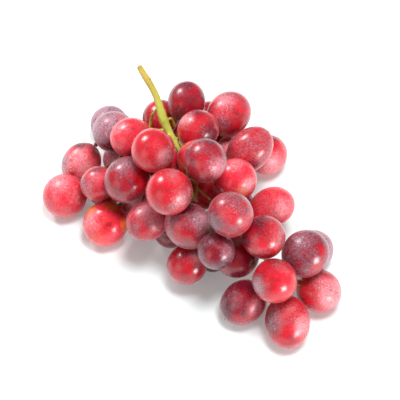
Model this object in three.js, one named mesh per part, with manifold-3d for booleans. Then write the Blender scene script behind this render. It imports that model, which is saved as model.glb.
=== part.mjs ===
// A bunch of red table grapes, cut from the vine and lying on its side.
// One green stem carries every berry: the cut stalk, the main axis inside the bunch, side branches
// and a short stalk to each berry. Millimetres, +Z up, the table at z = 0, the cut stalk at the back
// left and the tip of the bunch at the front right.
import * as THREE from "three";
import { mergeVertices } from "three/addons/utils/BufferGeometryUtils.js";
import Module from "manifold-3d";

const wasm = await Module();
wasm.setup();

// The eye looks down on the bunch from the front, towards a point on the table.
const EYE_ELEVATION = THREE.MathUtils.degToRad(55);
const EYE_DISTANCE = 567;
const RIGHT = new THREE.Vector3(1, 0, 0);
const UP = new THREE.Vector3(0, Math.sin(EYE_ELEVATION), Math.cos(EYE_ELEVATION));
const NEARER = new THREE.Vector3(0, -Math.cos(EYE_ELEVATION), Math.sin(EYE_ELEVATION));
const EYE = NEARER.clone().multiplyScalar(EYE_DISTANCE);

// The skins run from pink through bright and dark red to purple, and to grey where bloom lies on.
const ROSE = 0xe2566a;
const SCARLET = 0xdf3530;
const CRIMSON = 0xc42c3c;
const MAUVE = 0xa2485c;
const PLUM = 0x7e3a4c;
const LILAC = 0x8c6474;
const STEM_GREEN = 0xb4b14a;

// Each berry as the eye sees it: how far right of and above the middle of the view its centre shows,
// the height of its centre over the table, its width, its length from stalk end to tip, its skin.
const LEFT_SHOULDER = [
  [-68, 3.5, 11, 22, 22.5, ROSE],
  [-61, 17.7, 12, 19.4, 22.5, ROSE],
  [-43.5, 34.5, 28, 20.6, 21.8, LILAC],
  [-46, 38.5, 9, 20, 20.5, LILAC],
  [-35.3, 32, 43, 19.3, 20.3, SCARLET],
  [-41.5, 21, 17, 18, 18.5, PLUM],
  [-51.5, 7.5, 24, 16.8, 17.6, MAUVE],
  [-37, 10.5, 37, 21.6, 22.8, MAUVE],
  [-48, -11, 11, 21.8, 23.2, SCARLET],
  [-33.3, -1.7, 16, 17.2, 17.8, LILAC],
];
const CROWN = [
  [-24, 25, 52, 20.6, 21.3, CRIMSON],
  [-15.5, 4, 54, 21.2, 21.6, SCARLET],
  [2.5, 20, 57, 19.9, 20.6, MAUVE],
  [-1, 21, 38, 19.6, 20, ROSE],
  [-1, 34, 42, 19.9, 20.6, CRIMSON],
  [-7, 49.9, 38, 18.8, 21, PLUM],
  [-20, 42, 25, 18.8, 19.2, PLUM],
  [-11, 39, 12, 16.6, 17, CRIMSON],
];
const RIGHT_SHOULDER = [
  [14.5, 43.3, 34, 21.6, 24, ROSE],
  [4.5, 42, 20, 17, 17.5, CRIMSON],
  [25.2, 25.2, 34, 20.3, 26.5, MAUVE],
  [33.7, 23.2, 11, 20.3, 24, ROSE],
  [16.5, 24.5, 19, 17, 17, PLUM],
  [17.6, 9.6, 34, 20.4, 22.3, SCARLET],
  [36.5, -3.9, 21, 19.4, 23.6, ROSE],
];
const FRONT = [
  [-26.3, -10.2, 26, 18.6, 22.2, MAUVE],
  [-14, -15.5, 9, 17, 17.5, PLUM],
  [-5.5, -13.3, 35, 21.2, 24.4, PLUM],
  [-6.5, -32.5, 13.5, 19, 20, CRIMSON],
  [8.5, -25, 31, 17.2, 17.6, MAUVE],
  [6.5, -29, 7, 14, 14.5, PLUM],
  [20.2, -28, 20, 20.4, 21.6, MAUVE],
  [15.5, -8, 47, 20.4, 22.4, MAUVE],
  [31.2, -19, 34, 20.2, 20.6, CRIMSON],
  [1.5, 4, 17, 18, 18.4, PLUM],
  [11, -16.5, 7.3, 15, 15.4, PLUM],
];
const TIP = [
  [22.3, -51, 11, 20.4, 23.6, PLUM],
  [44.9, -61.6, 11.5, 21, 25, SCARLET],
  [60.1, -46.8, 11, 20.6, 21.6, CRIMSON],
  [53.6, -27.5, 28, 21.8, 23.4, MAUVE],
  [58, -25.5, 9.5, 19.2, 19.8, LILAC],
  [38, -41, 32, 20.4, 21, SCARLET],
];

// The cut stalk and the main axis, from the cut end to the last berries: right, up, height, radius.
const MAIN_AXIS = [
  [-31.1, 68.2, 62, 1.5],
  [-27.6, 62.4, 60, 1.7],
  [-24.3, 57, 56.5, 1.7],
  [-21.4, 50.5, 52.5, 1.75],
  [-18.6, 41, 47, 2.4],
  [-14.6, 32.6, 41, 1.7],
  [-11.5, 27.3, 36, 1.6],
  [-5, 19.5, 28, 1.6],
  [4, 16.5, 22, 1.5],
  [11, 10.2, 20, 1.4],
  [13.5, 1.5, 19.5, 1.4],
  [18, -10, 19, 1.3],
  [27, -23, 18, 1.2],
  [36.5, -33, 16.5, 1.1],
  [45, -40, 15, 1],
];
const BARE_ROWS = 4; // the rows of the cut stalk, which bears no berries

// The side branches that show between the upper berries, and the scar of a tendril on the stalk.
const SHOWN_BRANCHES = [
  [
    [-20.3, 47.5, 50.5, 0.9],
    [-23.7, 44.5, 46, 0.8],
    [-25.2, 40.5, 40, 0.8],
    [-25.8, 36.5, 36, 0.8],
  ],
  [
    [-18, 40, 46, 0.9],
    [-14.5, 41.5, 41, 0.8],
    [-13, 37.5, 34, 0.8],
  ],
  [
    [-5, 19.5, 28, 0.9],
    [-3.4, 11.5, 31, 0.75],
    [-1.6, 6.3, 33, 0.7],
    [-3.1, 0, 33, 0.7],
  ],
  [
    [-1.6, 6.3, 33, 0.7],
    [2.4, 2.8, 33.5, 0.7],
    [5.1, 0.3, 34, 0.7],
  ],
];
const TENDRIL_SCAR = [
  [-27.2, 61.8, 59.6, 1.1],
  [-24.9, 61.4, 59.6, 0.8],
];

const BERRY_LIMIT = 59; // room for more berries than the bunch takes
const SHOWN_FIRMNESS = 1; // a shown berry gives five times less than a hidden one
const HIDDEN_FIRMNESS = 0.2;
const BERRY_SPACING = 0.4;
const BERRY_SIDES = 12;
const BERRY_RINGS = 7;
const DIMPLE_WIDTH = 3.8;
const DIMPLE_DEPTH = 0.5;
const FLAT_DEPTH = 0.45; // how deep the table presses the lowest berries flat
const TABLE_SIDE = 400;
const TABLE_THICKNESS = 20;

const STALK_RADIUS = 0.75;
const STALK_CLEARANCE = 0.4;
const THICK_STEM_SLACK = 0.1; // how much nearer to a berry a thick stem may come
const STUB_LENGTH = 3; // the straight end of each stalk
const CAP_RADIUS = 1.3; // where a stalk widens at its berry
const CAP_LENGTH = 1.1;
const CAP_GAP = 0.05;
const THICKENING = 0.35; // how a stem's radius grows with the number of berries it carries
const STALK_SIDES = 5;
const AXIS_SIDES = 8;
const STEM_STEP = 2.5;
const CELL = 1.25; // the grain of the search for a way between the berries

// The point that shows at (right, up) and lies at the given height over the table.
function seenAt([right, up, height]) {
  const rise = up * Math.cos(EYE_ELEVATION);
  const nearer = (height - rise) / (Math.sin(EYE_ELEVATION) - rise / EYE_DISTANCE);
  const shrink = 1 - nearer / EYE_DISTANCE;
  return new THREE.Vector3()
    .addScaledVector(RIGHT, right * shrink)
    .addScaledVector(UP, up * shrink)
    .addScaledVector(NEARER, nearer);
}

// A repeatable stand-in for chance, from 0 to 1.
let seed = 7;
function chance() {
  seed = (seed + 0x6d2b79f5) | 0;
  let mixed = Math.imul(seed ^ (seed >>> 15), 1 | seed);
  mixed = (mixed + Math.imul(mixed ^ (mixed >>> 7), 61 | mixed)) ^ mixed;
  return ((mixed ^ (mixed >>> 14)) >>> 0) / 4294967296;
}

// A smooth line through [right, up, height, radius] rows, as points with radii. The row that a point
// follows is kept, with a fraction.
function stemLine(rows) {
  const curve = new THREE.CatmullRomCurve3(rows.map(seenAt));
  const steps = Math.ceil(curve.getLength() / STEM_STEP);
  return Array.from({ length: steps + 1 }, (_, i) => {
    const row = curve.getUtoTmapping(i / steps) * (rows.length - 1);
    const before = Math.min(Math.floor(row), rows.length - 2);
    const radius = THREE.MathUtils.lerp(rows[before][3], rows[before + 1][3], row - before);
    return { at: curve.getPointAt(i / steps), radius, row };
  });
}
const mainAxis = stemLine(MAIN_AXIS);
const bearingAxis = mainAxis.filter((point) => point.row >= BARE_ROWS);
const shownBranches = SHOWN_BRANCHES.map(stemLine);
const shownStems = [...mainAxis, ...shownBranches.flat()];

// The point of the main axis that is nearest to a place.
function nearestOnAxis(place) {
  return bearingAxis.reduce((a, b) => (a.at.distanceTo(place) < b.at.distanceTo(place) ? a : b)).at;
}

// A berry is an ellipsoid, kept as its centre, its radius, how much longer than that it is at each
// end, and the way from its centre to its stalk. The firmer it is, the less its neighbours move it.
function makeBerry(centre, width, length, color, firm) {
  const stalkWay = nearestOnAxis(centre).clone().sub(centre).normalize();
  const home = centre.clone();
  return { centre, home, radius: width / 2, extra: (length - width) / 2, stalkWay, color, firm };
}
const shownRows = [...LEFT_SHOULDER, ...CROWN, ...RIGHT_SHOULDER, ...FRONT, ...TIP];
const shownBerries = shownRows.map((row) => {
  const [, , , width, length, color] = row;
  return makeBerry(seenAt(row), width, length, color, SHOWN_FIRMNESS);
});
const berries = [...shownBerries];

// The shortest way between two straight cores, each given by its middle and its half as a vector.
function wayBetween(middleA, halfA, middleB, halfB) {
  const { clamp } = THREE.MathUtils;
  const way = middleA.clone().sub(middleB);
  const aa = Math.max(halfA.lengthSq(), 1e-9);
  const bb = Math.max(halfB.lengthSq(), 1e-9);
  const ab = halfA.dot(halfB);
  const wayA = halfA.dot(way);
  const wayB = halfB.dot(way);
  const spread = aa * bb - ab * ab;
  const free = spread > 1e-9 ? clamp((ab * wayB - wayA * bb) / spread, -1, 1) : 0;
  const alongB = clamp((ab * free + wayB) / bb, -1, 1);
  const alongA = clamp((ab * alongB - wayA) / aa, -1, 1);
  return way.addScaledVector(halfA, alongA).addScaledVector(halfB, -alongB);
}

// A berry fits in a round-ended core of its own radius, from whose skin distances are measured.
const coreHalf = (berry) => berry.stalkWay.clone().multiplyScalar(berry.extra);
function skinDistance(berry, point) {
  const offset = point.clone().sub(berry.centre);
  const along = THREE.MathUtils.clamp(offset.dot(berry.stalkWay), -berry.extra, berry.extra);
  return offset.addScaledVector(berry.stalkWay, -along).length() - berry.radius;
}

// The height of a berry's lowest point.
function lowestPoint({ centre, radius, extra, stalkWay }) {
  const across = radius ** 2 * (1 - stalkWay.z ** 2);
  const along = (radius + extra) ** 2 * stalkWay.z ** 2;
  return centre.z - Math.sqrt(across + along);
}

// A point on the line of a berry's stalk, so far outside its skin.
function onStalk({ centre, radius, extra, stalkWay }, outside) {
  return centre.clone().addScaledVector(stalkWay, radius + extra + outside);
}

// Moves a berry, with what is across the line of sight scaled, so that it stays where it shows.
function move(berry, push, across) {
  const along = push.dot(NEARER);
  push.addScaledVector(NEARER, -along).multiplyScalar(across).addScaledVector(NEARER, along);
  berry.centre.add(push);
}

// Parts two berries by the way between them, the firmer one giving less.
function part(berry, other, way, overlap, across) {
  const share = other.firm / (berry.firm + other.firm);
  move(berry, way.clone().setLength(overlap * share), across);
  move(other, way.clone().setLength(overlap * (share - 1)), across);
}

// Lets the berries, the straight ends of their stalks and the stem push each other apart over the
// table, while each berry is drawn back to its place. Low berries sink down on to the table.
function settle({ rounds, across, drawn, withStalks }) {
  const SINKS_FROM = 2;
  const SINK_STEP = 0.1;
  const DRAWN_ACROSS = 6;
  for (let round = 0; round < rounds; round++) {
    for (const [i, berry] of berries.entries()) {
      for (const other of berries.slice(i + 1)) {
        const way = wayBetween(berry.centre, coreHalf(berry), other.centre, coreHalf(other));
        const overlap = berry.radius + other.radius + BERRY_SPACING - way.length();
        if (overlap > 0) part(berry, other, way, overlap, across);
      }
      if (!withStalks) continue;
      const stubMiddle = onStalk(berry, STUB_LENGTH / 2);
      const stubHalf = berry.stalkWay.clone().multiplyScalar(STUB_LENGTH / 2);
      for (const other of berries) {
        if (other === berry) continue;
        const way = wayBetween(other.centre, coreHalf(other), stubMiddle, stubHalf);
        const overlap = other.radius + CAP_RADIUS + STALK_CLEARANCE - way.length();
        if (overlap > 0) part(other, berry, way, overlap, across);
      }
    }
    for (const berry of berries) {
      for (const point of shownStems) {
        const overlap = point.radius + STALK_CLEARANCE - skinDistance(berry, point.at);
        if (overlap > 0) move(berry, berry.centre.clone().sub(point.at).setLength(overlap), across);
      }
      const low = lowestPoint(berry);
      if (low < SINKS_FROM) {
        const sink = Math.min(SINK_STEP, low + FLAT_DEPTH);
        berry.centre.addScaledVector(NEARER, -sink / NEARER.z);
      }
      move(berry, berry.home.clone().sub(berry.centre).multiplyScalar(drawn), DRAWN_ACROSS);
    }
  }
}
settle({ rounds: 400, across: 0.25, drawn: 0.008, withStalks: false });

// True where a berry that shows stands between the eye and a point.
function isHidden(point) {
  const ray = point.clone().sub(EYE);
  const distance = ray.length();
  ray.divideScalar(distance);
  return shownBerries.some((berry) => {
    const along = berry.centre.clone().sub(EYE).dot(ray);
    const passing = EYE.clone().addScaledVector(ray, along);
    return along < distance && passing.distanceTo(berry.centre) < berry.radius;
  });
}

// True where the whole rim of a ball, as the eye sees it, is hidden so.
function isBallHidden(centre, radius) {
  const sight = centre.clone().sub(EYE).normalize();
  const side = RIGHT.clone().cross(sight).normalize();
  const upright = side.clone().cross(sight);
  const RIM_POINTS = 12;
  const rim = Array.from({ length: RIM_POINTS }, (_, i) => {
    const turn = (2 * i * Math.PI) / RIM_POINTS;
    const out = side.clone().multiplyScalar(Math.cos(turn)).addScaledVector(upright, Math.sin(turn));
    return centre.clone().addScaledVector(out, radius);
  });
  return [centre, ...rim].every(isHidden);
}

// The berries that the others hide fill the room that is left, the lowest first. Each touches or
// nearly touches three others, and may press a little on them before they settle.
function fillBehind() {
  const TRIES = 120000;
  const PRESS = 1.5;
  const NEARLY = 4;
  const SMALLEST = 8; // the least radius, and how much more it may be
  const LARGER = 1.4;
  const LONGER = 1; // how much longer than wide
  const LEFT_END = -80;
  const FRONT_END = -90;
  const REGION = 160;
  const HIGHEST = 45;
  const REACH = 45; // how far from the main axis a berry may sit, and how near to its line
  const AXIS_ROOM = 4;
  const places = [];
  for (let n = 0; n < TRIES; n++) {
    const radius = SMALLEST + LARGER * chance();
    const x = LEFT_END + REGION * chance();
    const y = FRONT_END + REGION * chance();
    const centre = new THREE.Vector3(x, y, radius - FLAT_DEPTH + HIGHEST * chance() ** 2);
    const fromAxis = nearestOnAxis(centre).distanceTo(centre);
    if (fromAxis > REACH || fromAxis < radius + AXIS_ROOM) continue;
    const gaps = berries.map((berry) => skinDistance(berry, centre) - radius);
    if (gaps.some((gap) => gap < -PRESS)) continue;
    if (gaps.filter((gap) => gap < NEARLY).length < 3) continue;
    if (isBallHidden(centre, radius)) places.push({ centre, radius });
  }
  places.sort((a, b) => a.centre.z - b.centre.z);
  for (const { centre, radius } of places) {
    if (berries.length >= BERRY_LIMIT) break;
    if (berries.some((berry) => skinDistance(berry, centre) < radius - PRESS)) continue;
    const color = [MAUVE, CRIMSON, PLUM][berries.length % 3];
    berries.push(makeBerry(centre, 2 * radius, 2 * radius + LONGER, color, HIDDEN_FIRMNESS));
  }
}
fillBehind();
settle({ rounds: 200, across: 0.25, drawn: 0.008, withStalks: false });

// Turns each berry's stalk to where it has the most room on the side of the main axis, out of sight.
function turnToStem(berry) {
  const DIRECTIONS = 300;
  const OPEN_ENOUGH = 3.5;
  const LEAST_FACING = 0.35;
  const FACING_WORTH = 3.5;
  const SEEN_COST = 2.5;
  const inward = nearestOnAxis(berry.centre).clone().sub(berry.centre).normalize();
  const others = berries.filter((other) => other !== berry);
  let best = -Infinity;
  let chosen = inward;
  for (let i = 0; i < DIRECTIONS; i++) {
    const height = 1 - (2 * i + 1) / DIRECTIONS;
    const turn = i * Math.PI * (3 - Math.sqrt(5));
    const flat = Math.sqrt(1 - height ** 2);
    const way = new THREE.Vector3(flat * Math.cos(turn), flat * Math.sin(turn), height);
    const facing = way.dot(inward);
    if (facing < LEAST_FACING) continue;
    const end = onStalk({ ...berry, stalkWay: way }, STUB_LENGTH);
    const open = Math.min(OPEN_ENOUGH, end.z, ...others.map((other) => skinDistance(other, end)));
    const score = open + FACING_WORTH * facing - (isHidden(end) ? 0 : SEEN_COST);
    if (score > best) {
      best = score;
      chosen = way;
    }
  }
  berry.stalkWay = chosen;
}
berries.forEach(turnToStem);
settle({ rounds: 500, across: 0.25, drawn: 0.008, withStalks: true });
settle({ rounds: 500, across: 0.5, drawn: 0, withStalks: true });

// The room between the berries is cut into cells, each with the distance to the nearest skin or to
// the table. Cells are numbered along x, then y, then z.
const FAR = 4;
const MARGIN = 16; // from the outer berries' centres to the end of the cells
const space = new THREE.Box3().setFromPoints(berries.map((berry) => berry.centre)).expandByScalar(MARGIN);
space.min.z = 0;
const cells = space.getSize(new THREE.Vector3()).divideScalar(CELL).ceil();
const cellCount = cells.x * cells.y * cells.z;
function cellAt(point) {
  const { x, y, z } = point.clone().sub(space.min).divideScalar(CELL).floor();
  return x + cells.x * (y + cells.y * z);
}
function cellMiddle(cell) {
  const x = cell % cells.x;
  const y = Math.floor(cell / cells.x) % cells.y;
  const z = Math.floor(cell / (cells.x * cells.y));
  return new THREE.Vector3(x + 0.5, y + 0.5, z + 0.5).multiplyScalar(CELL).add(space.min);
}
const clearance = new Float32Array(cellCount);
for (let cell = 0; cell < cellCount; cell++) {
  clearance[cell] = Math.min(FAR, cellMiddle(cell).z);
}
for (const berry of berries) {
  const around = berry.radius + berry.extra + FAR;
  const low = Math.max(-around, CELL / 2 - berry.centre.z);
  for (let x = -around; x <= around; x += CELL) {
    for (let y = -around; y <= around; y += CELL) {
      for (let z = low; z <= around; z += CELL) {
        const cell = cellAt(new THREE.Vector3(x, y, z).add(berry.centre));
        clearance[cell] = Math.min(clearance[cell], skinDistance(berry, cellMiddle(cell)));
      }
    }
  }
}

// From a cell to the 26 around it.
const cellSteps = [];
for (const x of [-1, 0, 1]) {
  for (const y of [-1, 0, 1]) {
    for (const z of [-1, 0, 1]) {
      const length = CELL * Math.hypot(x, y, z);
      if (length > 0) cellSteps.push({ jump: x + cells.x * (y + cells.y * z), length });
    }
  }
}

// The stem grows as knots, each with the knot that it grows from, and depth is the way back to a
// shown stem. A cell that a knot takes is marked with it.
const knots = [];
const knotIn = new Int32Array(cellCount).fill(-1);
function addKnot(at, parent, radius, fixed) {
  const depth = parent < 0 ? 0 : knots[parent].depth + at.distanceTo(knots[parent].at);
  knots.push({ at, parent, radius, fixed, depth, load: 0, children: [] });
  if (parent >= 0) knots[parent].children.push(knots.length - 1);
  return knots.length - 1;
}
for (const { at, radius } of [...bearingAxis, ...shownBranches.flat()]) {
  const knot = addKnot(at, -1, radius, true);
  const middle = cellAt(at);
  knotIn[middle] = knot;
  for (const { jump } of cellSteps) knotIn[middle + jump] = knot;
}

// A stalk stays out of sight where it can: a cell in full view costs more. Views are worked out once.
const inView = new Int8Array(cellCount).fill(-1);
function shows(cell) {
  if (inView[cell] < 0) inView[cell] = isHidden(cellMiddle(cell)) ? 0 : 1;
  return inView[cell] === 1;
}

// The cheapest way from a cell through the room between the berries to the stem that has grown so
// far. Returns the cells of the way, from the stem outwards.
const TIGHTNESS_COST = 2.5;
const VIEW_COST = 25;
const DEPTH_COST = 0.3;
const stalkRoom = STALK_RADIUS + STALK_CLEARANCE;
const cost = new Float32Array(cellCount);
const cameFrom = new Int32Array(cellCount);
function wayToStem(start) {
  cost.fill(Infinity);
  cost[start] = 0;
  const waiting = [[start]];
  let best = Infinity;
  let joint = -1;
  for (let level = 0; level < waiting.length && level < best; level++) {
    for (const cell of waiting[level] ?? []) {
      if (Math.floor(cost[cell]) < level) continue;
      if (knotIn[cell] >= 0) {
        const total = cost[cell] + DEPTH_COST * knots[knotIn[cell]].depth;
        if (total < best) {
          best = total;
          joint = cell;
        }
        continue;
      }
      for (const { jump, length } of cellSteps) {
        const next = cell + jump;
        if (clearance[next] < stalkRoom || cost[cell] + length >= cost[next]) continue;
        const tightness = Math.max(0, TIGHTNESS_COST - clearance[next]);
        const total = cost[cell] + length * (1 + tightness + (shows(next) ? VIEW_COST : 0));
        if (total >= cost[next]) continue;
        cost[next] = total;
        cameFrom[next] = cell;
        (waiting[Math.floor(total)] ??= []).push(next);
      }
    }
  }
  if (joint < 0) throw new Error("a berry has no way to the stem");
  const way = [joint];
  while (way.at(-1) !== start) way.push(cameFrom[way.at(-1)]);
  return way;
}

// Each berry's stalk grows from the stem to the berry, those nearest to the main axis first. Returns
// the knot at its tip.
function growStalk(berry) {
  const outer = onStalk(berry, STUB_LENGTH);
  let start = cellAt(outer);
  if (clearance[start] < stalkRoom) {
    const around = cellSteps.map(({ jump }) => start + jump);
    start = around.reduce((a, b) => (clearance[a] > clearance[b] ? a : b));
  }
  const [joint, ...way] = wayToStem(start);
  let knot = knotIn[joint];
  for (const cell of way.slice(0, -1)) {
    knot = addKnot(cellMiddle(cell), knot, 0, false);
    knotIn[cell] = knot;
  }
  knot = addKnot(outer, knot, 0, true);
  knot = addKnot(onStalk(berry, CAP_LENGTH), knot, CAP_RADIUS, true);
  return addKnot(onStalk(berry, CAP_GAP), knot, CAP_RADIUS, true);
}
const fromAxis = (berry) => nearestOnAxis(berry.centre).distanceTo(berry.centre);
const tips = [...berries].sort((a, b) => fromAxis(a) - fromAxis(b)).map(growStalk);

// Draws the grown stalks smooth, and holds them off the berries.
function smoothStalks(rounds) {
  const grown = knots.filter((knot) => !knot.fixed);
  for (let round = 0; round < rounds; round++) {
    for (const knot of grown) {
      const beyond = new THREE.Vector3();
      for (const child of knot.children) beyond.addScaledVector(knots[child].at, 1 / knot.children.length);
      knot.at.lerp(beyond.lerp(knots[knot.parent].at, 0.5), 0.5);
      for (const berry of berries) {
        const overlap = stalkRoom + CELL / 5 - skinDistance(berry, knot.at);
        if (overlap > 0) knot.at.add(knot.at.clone().sub(berry.centre).setLength(overlap));
      }
    }
  }
}
smoothStalks(60);

// A stem is as thick as its load of berries asks for and its neighbours allow.
for (const tip of tips) {
  for (let knot = tip; knot >= 0; knot = knots[knot].parent) knots[knot].load += 1;
}
for (const knot of knots.filter(({ radius }) => radius === 0)) {
  const room = Math.min(...berries.map((berry) => skinDistance(berry, knot.at)));
  knot.radius = Math.min(STALK_RADIUS * knot.load ** THICKENING, room - STALK_CLEARANCE + THICK_STEM_SLACK);
}

// A solid from a closed geometry, and a geometry from a solid.
function solid(geometry) {
  geometry.deleteAttribute("normal");
  geometry.deleteAttribute("uv");
  const merged = mergeVertices(geometry, 1e-5);
  const vertProperties = new Float32Array(merged.attributes.position.array);
  const triVerts = new Uint32Array(merged.index.array);
  return new wasm.Manifold(new wasm.Mesh({ numProp: 3, vertProperties, triVerts }));
}
function geometryOf(manifold) {
  const { vertProperties, triVerts } = manifold.getMesh();
  const geometry = new THREE.BufferGeometry();
  geometry.setAttribute("position", new THREE.BufferAttribute(vertProperties, 3));
  geometry.setIndex(new THREE.BufferAttribute(triVerts, 1));
  geometry.computeVertexNormals();
  return geometry;
}

// A closed tube through points, each with its own radius.
function tube(points, sides) {
  const positions = [];
  const faces = [];
  const across = new THREE.Vector3(1, 2, 3);
  points.forEach((point, i) => {
    const before = points[Math.max(i - 1, 0)].at;
    const after = points[Math.min(i + 1, points.length - 1)].at;
    const along = after.clone().sub(before).normalize();
    across.addScaledVector(along, -across.dot(along)).normalize();
    const other = along.clone().cross(across);
    for (let side = 0; side < sides; side++) {
      const turn = (2 * Math.PI * side) / sides;
      const out = across.clone().multiplyScalar(Math.cos(turn)).addScaledVector(other, Math.sin(turn));
      positions.push(...out.multiplyScalar(point.radius).add(point.at).toArray());
    }
  });
  for (let ring = 0; ring < (points.length - 1) * sides; ring += sides) {
    for (let side = 0; side < sides; side++) {
      const a = ring + side;
      const b = ring + ((side + 1) % sides);
      faces.push(a, b, b + sides, a, b + sides, a + sides);
    }
  }
  const last = (points.length - 1) * sides;
  for (let side = 1; side < sides - 1; side++) {
    faces.push(0, side + 1, side, last, last + side, last + side + 1);
  }
  const geometry = new THREE.BufferGeometry();
  geometry.setAttribute("position", new THREE.Float32BufferAttribute(positions, 3));
  geometry.setIndex(faces);
  return solid(geometry);
}

// One tube runs back from each berry to the shown stem, or to where it meets a stalk that bears more.
function stalkTube(tip) {
  const line = [knots[tip]];
  for (let knot = tip; ; knot = knots[knot].parent) {
    const { parent } = knots[knot];
    line.push(knots[parent]);
    const bearsMore = (other) => knots[other].load > knots[knot].load;
    const { children } = knots[parent];
    const first = children.find((other) => knots[other].load === knots[knot].load);
    if (knots[parent].parent < 0 || children.some(bearsMore) || first !== knot) break;
  }
  const points = line.filter((_, i) => i < 3 || i % 2 === 0 || i === line.length - 1);
  const [before, end] = points.slice(-2);
  points[points.length - 1] = { at: end.at, radius: Math.min(end.radius, before.radius) };
  return tube(points, STALK_SIDES);
}

// The stem without the crumbs of green that a fork can leave loose beside it.
function withoutCrumbs(joined) {
  const CRUMB_VOLUME = 0.1;
  const bodies = joined.decompose().sort((a, b) => b.volume() - a.volume());
  if (bodies.slice(1).some((body) => body.volume() > CRUMB_VOLUME)) throw new Error("the stem is in pieces");
  return bodies[0];
}

function stem() {
  const branches = [...shownBranches, stemLine(TENDRIL_SCAR)].map((line) => tube(line, STALK_SIDES));
  const stalks = tips.map(stalkTube);
  const whole = [...branches, ...stalks].reduce((a, b) => a.add(b), tube(mainAxis, AXIS_SIDES));
  const material = new THREE.MeshStandardMaterial({ color: STEM_GREEN, roughness: 0.6, metalness: 0 });
  const mesh = new THREE.Mesh(geometryOf(withoutCrumbs(whole)), material);
  mesh.name = "stem";
  return mesh;
}

// A berry's skin on its own, +Z to the stalk, with a dimple round the stalk.
function berrySkin({ radius, extra }) {
  const length = radius + extra;
  const lip = Math.asin(DIMPLE_WIDTH / 2 / radius);
  const profile = Array.from({ length: BERRY_RINGS }, (_, ring) => {
    const angle = (Math.PI * ring) / BERRY_RINGS;
    return new THREE.Vector2(radius * Math.sin(angle), -length * Math.cos(angle));
  });
  profile.push(new THREE.Vector2(radius * Math.sin(lip), length * Math.cos(lip)));
  profile.push(new THREE.Vector2(0, length - DIMPLE_DEPTH));
  return new THREE.LatheGeometry(profile, BERRY_SIDES).rotateX(Math.PI / 2);
}

// A berry in its place. Where it rests on the table it is pressed flat.
function berry(shape, name) {
  const material = new THREE.MeshStandardMaterial({ color: shape.color, roughness: 0.35, metalness: 0 });
  const mesh = new THREE.Mesh(berrySkin(shape), material);
  mesh.name = name;
  mesh.position.copy(shape.centre);
  mesh.quaternion.setFromUnitVectors(new THREE.Vector3(0, 0, 1), shape.stalkWay);
  mesh.updateMatrix();
  const toBerry = mesh.matrix.clone().invert();
  const table = new THREE.BoxGeometry(TABLE_SIDE, TABLE_SIDE, TABLE_THICKNESS)
    .translate(0, 0, -TABLE_THICKNESS / 2)
    .applyMatrix4(toBerry);
  mesh.geometry = geometryOf(solid(mesh.geometry).subtract(solid(table)));
  return mesh;
}

// The origin is on the table, under the middle of the whole bunch.
const group = new THREE.Group();
group.add(stem());
berries.forEach((shape, i) => group.add(berry(shape, `berry_${String(i + 1).padStart(2, "0")}`)));
const middle = new THREE.Box3().setFromObject(group, true).getCenter(new THREE.Vector3());
group.position.set(-middle.x, -middle.y, 0);

export default group;
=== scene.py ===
import math

import bmesh
import bpy
import numpy as np
from mathutils import Matrix, Vector


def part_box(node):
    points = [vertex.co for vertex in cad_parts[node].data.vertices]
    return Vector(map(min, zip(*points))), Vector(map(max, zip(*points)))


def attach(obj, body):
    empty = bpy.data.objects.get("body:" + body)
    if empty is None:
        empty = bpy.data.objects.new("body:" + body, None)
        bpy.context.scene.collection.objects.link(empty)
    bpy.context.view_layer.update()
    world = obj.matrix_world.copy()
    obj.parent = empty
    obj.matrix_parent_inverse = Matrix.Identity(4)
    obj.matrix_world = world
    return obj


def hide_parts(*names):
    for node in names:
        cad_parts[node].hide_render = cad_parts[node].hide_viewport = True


# A bunch of red table grapes on a pale table: firm berries with a waxy bloom, each on its own
# short stalk of one branched green stem. Everything is in metres, with +Z up from the table.
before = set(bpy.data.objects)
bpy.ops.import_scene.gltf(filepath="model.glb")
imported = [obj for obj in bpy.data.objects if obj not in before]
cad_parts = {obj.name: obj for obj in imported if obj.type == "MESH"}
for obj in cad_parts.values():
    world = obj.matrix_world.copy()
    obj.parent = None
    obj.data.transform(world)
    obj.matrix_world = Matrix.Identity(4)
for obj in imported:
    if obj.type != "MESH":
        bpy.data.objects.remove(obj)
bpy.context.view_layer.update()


# The viewer: the camera looks down on the bunch from its front, along +Y, from well above.
# The colour patches of the berries are described by where this viewer sees them.
VIEW_POINT = Vector((0.00582, 0.01825, 0.0))
VIEW_HEIGHT = math.radians(55)
VIEW_DISTANCE = 0.567
RIGHTWARD = Vector((1, 0, 0))
TOWARDS_EYE = Vector((0, -math.cos(VIEW_HEIGHT), math.sin(VIEW_HEIGHT)))
UPWARD = TOWARDS_EYE.cross(RIGHTWARD)

bpy.ops.object.select_all(action="DESELECT")
bpy.ops.object.camera_add(
    location=VIEW_POINT + VIEW_DISTANCE * TOWARDS_EYE,
    rotation=(math.pi / 2 - VIEW_HEIGHT, 0, 0),
)
camera = bpy.context.object
camera.data.lens = 100
camera.data.sensor_width = 36
camera.data.clip_start = 0.01
camera.data.clip_end = 20
bpy.context.scene.camera = camera


# The form of a berry: an oval fruit with thin skin. At its top the stalk's cap sits in a
# shallow dimple with a rounded lip, and at its foot is the small dry scar of its flower.
# It is modelled once with a half width of 1, and each berry is a copy of it.
BERRY_SIDES = 48
BERRY_RINGS = 24
LIP = 0.185
DIMPLE_DEEP = 0.032
CAP_SEAT = 0.115
SEAT_LEVEL = 1.004
SCAR_HOLLOW = 0.085
SCAR_DOT = 0.045
SCAR_DEEP = 0.014


def pick(shape, wanted):
    """Selects the faces of a shape in edit mode whose middle is wanted, and nothing else."""
    bpy.ops.mesh.select_all(action="DESELECT")
    body = bmesh.from_edit_mesh(shape.data)
    for face in body.faces:
        face.select = wanted(face.calc_center_median())
    body.select_flush_mode()
    bmesh.update_edit_mesh(shape.data)


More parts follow.
